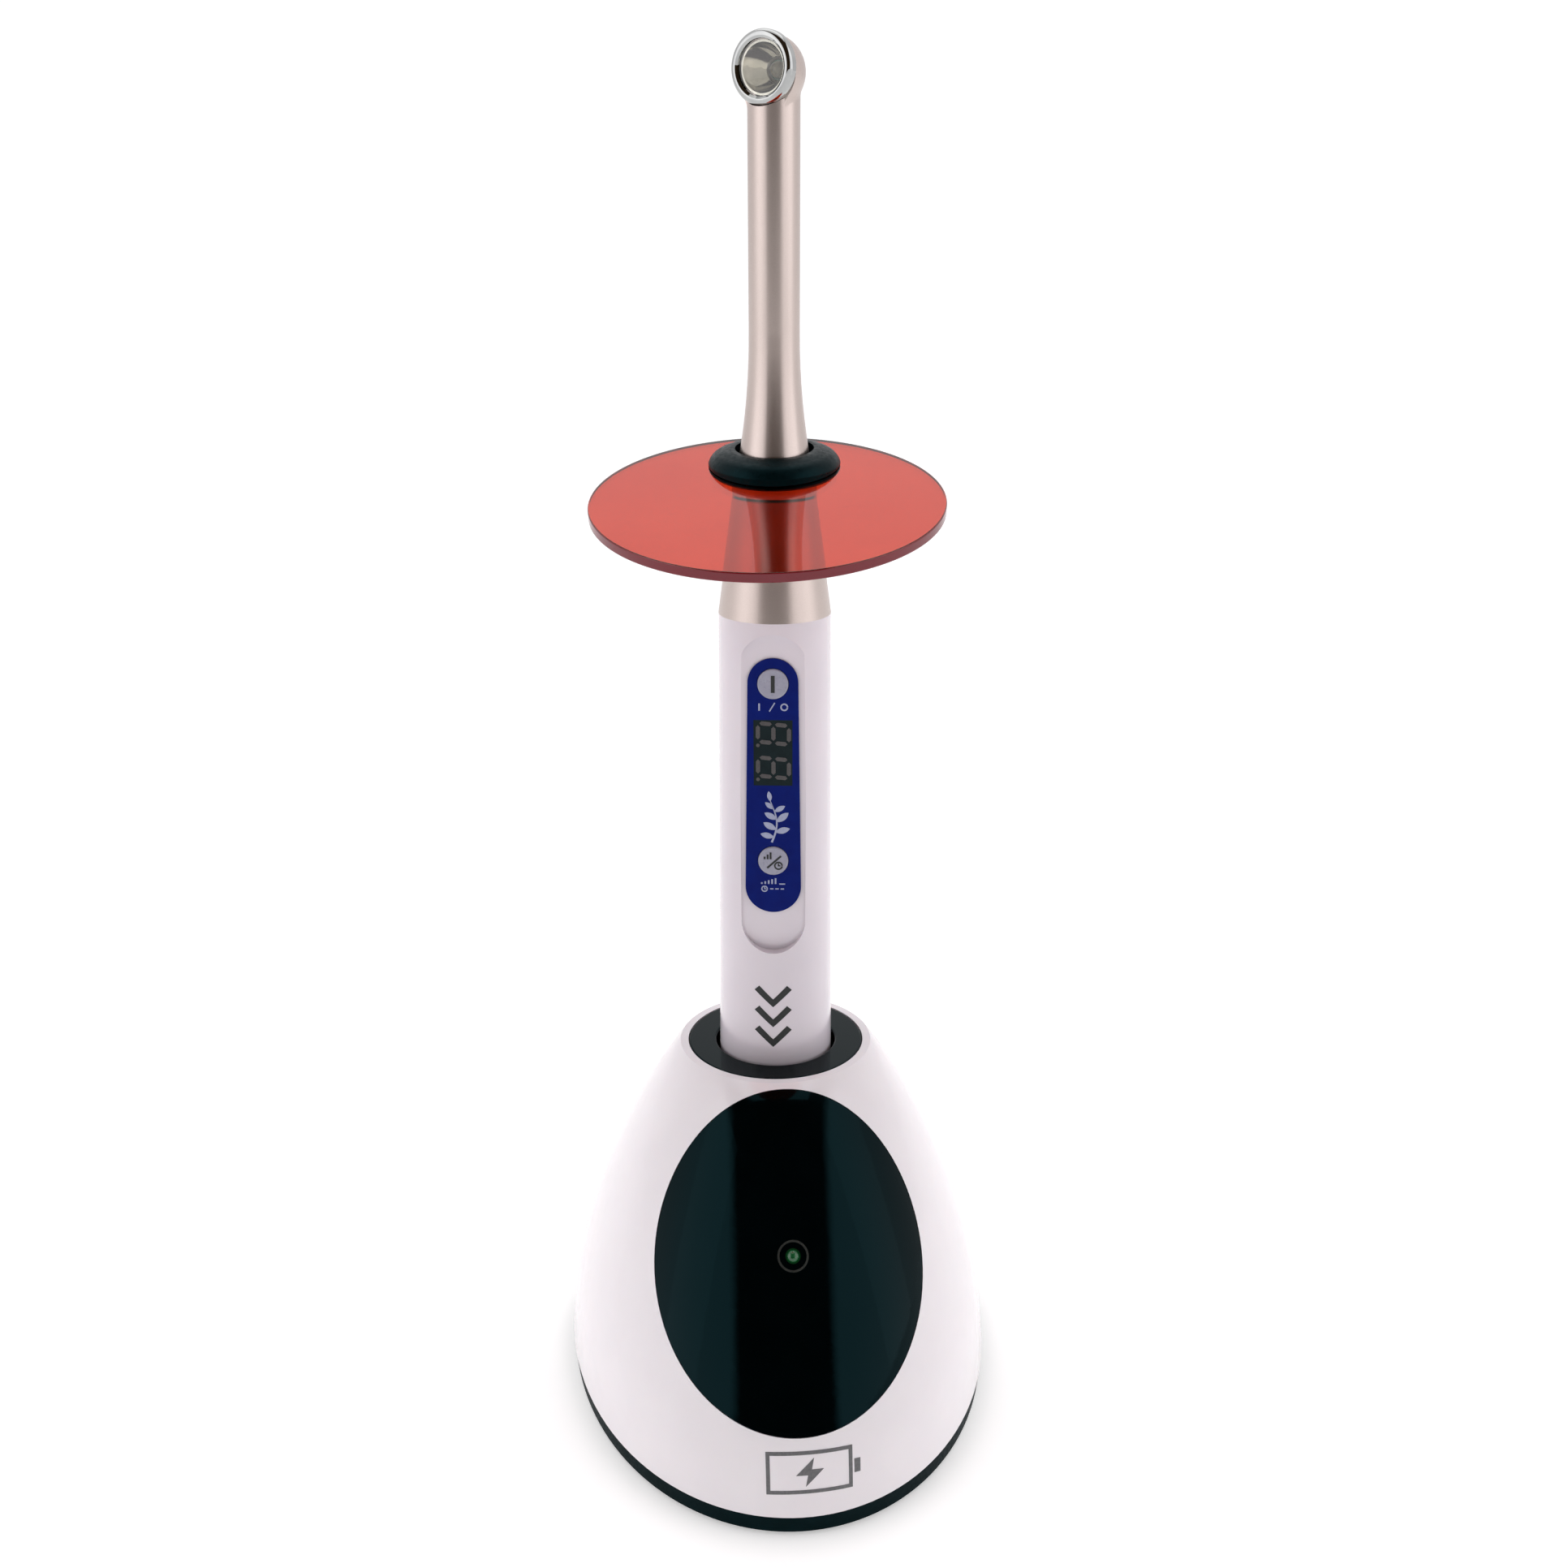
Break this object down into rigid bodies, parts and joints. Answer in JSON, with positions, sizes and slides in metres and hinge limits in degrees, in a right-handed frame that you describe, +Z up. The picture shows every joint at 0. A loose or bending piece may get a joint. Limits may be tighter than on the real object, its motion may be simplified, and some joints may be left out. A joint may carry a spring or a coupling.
{
  "type": "dental curing light",
  "caption": "Cordless dental curing light: swivelling angled lamp wand with a tinted splash shield on a tube handle with keys and display, standing in an egg-shaped charging stand.",
  "frame": {"origin": "on the table under the middle of the stand", "axes": "+Z up along the handpiece, -Y towards the stand's front"},
  "size_m": [0.0988, 0.1217, 0.292],
  "materials": {
    "white_gloss": "moulded, polished",
    "black_gloss": "moulded, polished",
    "black_plastic": "fine moulded texture",
    "rubber_black": "smooth moulded rubber",
    "champagne_metal": "bead-blasted and anodised, satin",
    "chrome": "polished",
    "mirror_bowl": "vacuum metallised mirror",
    "clear_glass": "polished clear",
    "orange_screen": "cast, transparent, polished",
    "blue_overlay": "printed film, semi-gloss",
    "button_grey": "moulded, semi-gloss",
    "dark_window": "polished",
    "circuit_green": "solder mask",
    "lamp_chip": "die on ceramic",
    "steel": "plated",
    "gold_contact": "gold-plated",
    "battery_wrap": "shrink sleeve",
    "wire_jacket": "insulated wire",
    "green_lamp": "tinted diffused epoxy"
  },
  "bodies": {
    "stand": {"stand_shell": "white_gloss", "front_panel": "black_gloss", "charge_lamp": "green_lamp", "base_plate": "black_plastic", "base_screws": "steel", "rubber_feet": "rubber_black", "ballast_plate": "steel", "charger_board": "circuit_green", "socket_ring": "black_gloss", "socket_cup": "black_plastic", "contact_block": "black_plastic", "dc_inlet": "black_plastic", "pin_barrels": "gold_contact", "pin_spring_middle": "steel", "pin_spring_side": "steel"},
    "pin_middle": {"charging_pin_middle": "gold_contact"},
    "pin_side": {"charging_pin_side": "gold_contact"},
    "handpiece": {"handle_shell": "white_gloss", "control_overlay": "blue_overlay", "display_window": "dark_window", "digit_module": "black_plastic", "control_board": "circuit_green", "tact_switches": "black_plastic", "beeper": "black_plastic", "tail_cap": "black_plastic", "charging_pad_middle": "gold_contact", "charging_pad_ring": "gold_contact", "battery_cell": "battery_wrap", "battery_spring": "steel", "battery_plate": "steel", "front_cone": "champagne_metal", "swivel_bush": "black_plastic"},
    "power_key": {"power_button": "button_grey"},
    "mode_key": {"mode_button": "button_grey"},
    "head": {"wand": "champagne_metal", "swivel_clip": "steel", "head_bezel": "chrome", "lens_window": "clear_glass", "reflector": "mirror_bowl", "lamp_board": "circuit_green", "lamp_chip": "lamp_chip", "lamp_wires": "wire_jacket"},
    "grommet": {"shield_grommet": "rubber_black"},
    "shield": {"shield_disc": "orange_screen"}
  },
  "joints": [
    {"name": "handpiece_lift", "type": "slide", "parent": "stand", "child": "handpiece", "axis": [0, 0, 1], "range_m": [0, 0.06]},
    {"name": "head_swivel", "type": "hinge", "parent": "handpiece", "child": "head", "pos_m": [0, 0.011, 0.196], "axis": [0, 0, 1], "range_deg": [-170, 170]},
    {"name": "shield_slide", "type": "slide", "parent": "head", "child": "grommet", "axis": [0, 0, 1], "range_m": [0, 0.088]},
    {"name": "shield_turn", "type": "hinge", "parent": "grommet", "child": "shield", "pos_m": [0, 0.011, 0.2092], "axis": [-0.0326, -0.2209, 0.9748], "continuous": true},
    {"name": "power_press", "type": "slide", "parent": "handpiece", "child": "power_key", "axis": [0.1132, 0.9936, 0], "range_m": [0, 0.0003], "stiffness_N_per_m": 1500, "springref_m": -0.0003},
    {"name": "mode_press", "type": "slide", "parent": "handpiece", "child": "mode_key", "axis": [0.1132, 0.9936, 0], "range_m": [0, 0.0003], "stiffness_N_per_m": 1500, "springref_m": -0.0003},
    {"name": "pin_middle_travel", "type": "slide", "parent": "stand", "child": "pin_middle", "axis": [0, 0, 1], "range_m": [-0.001, 0], "stiffness_N_per_m": 300, "springref_m": 0.0008, "deforming": ["pin_spring_middle"]},
    {"name": "pin_side_travel", "type": "slide", "parent": "stand", "child": "pin_side", "axis": [0, 0, 1], "range_m": [-0.001, 0], "stiffness_N_per_m": 300, "springref_m": 0.0008, "deforming": ["pin_spring_side"]}
  ]
}
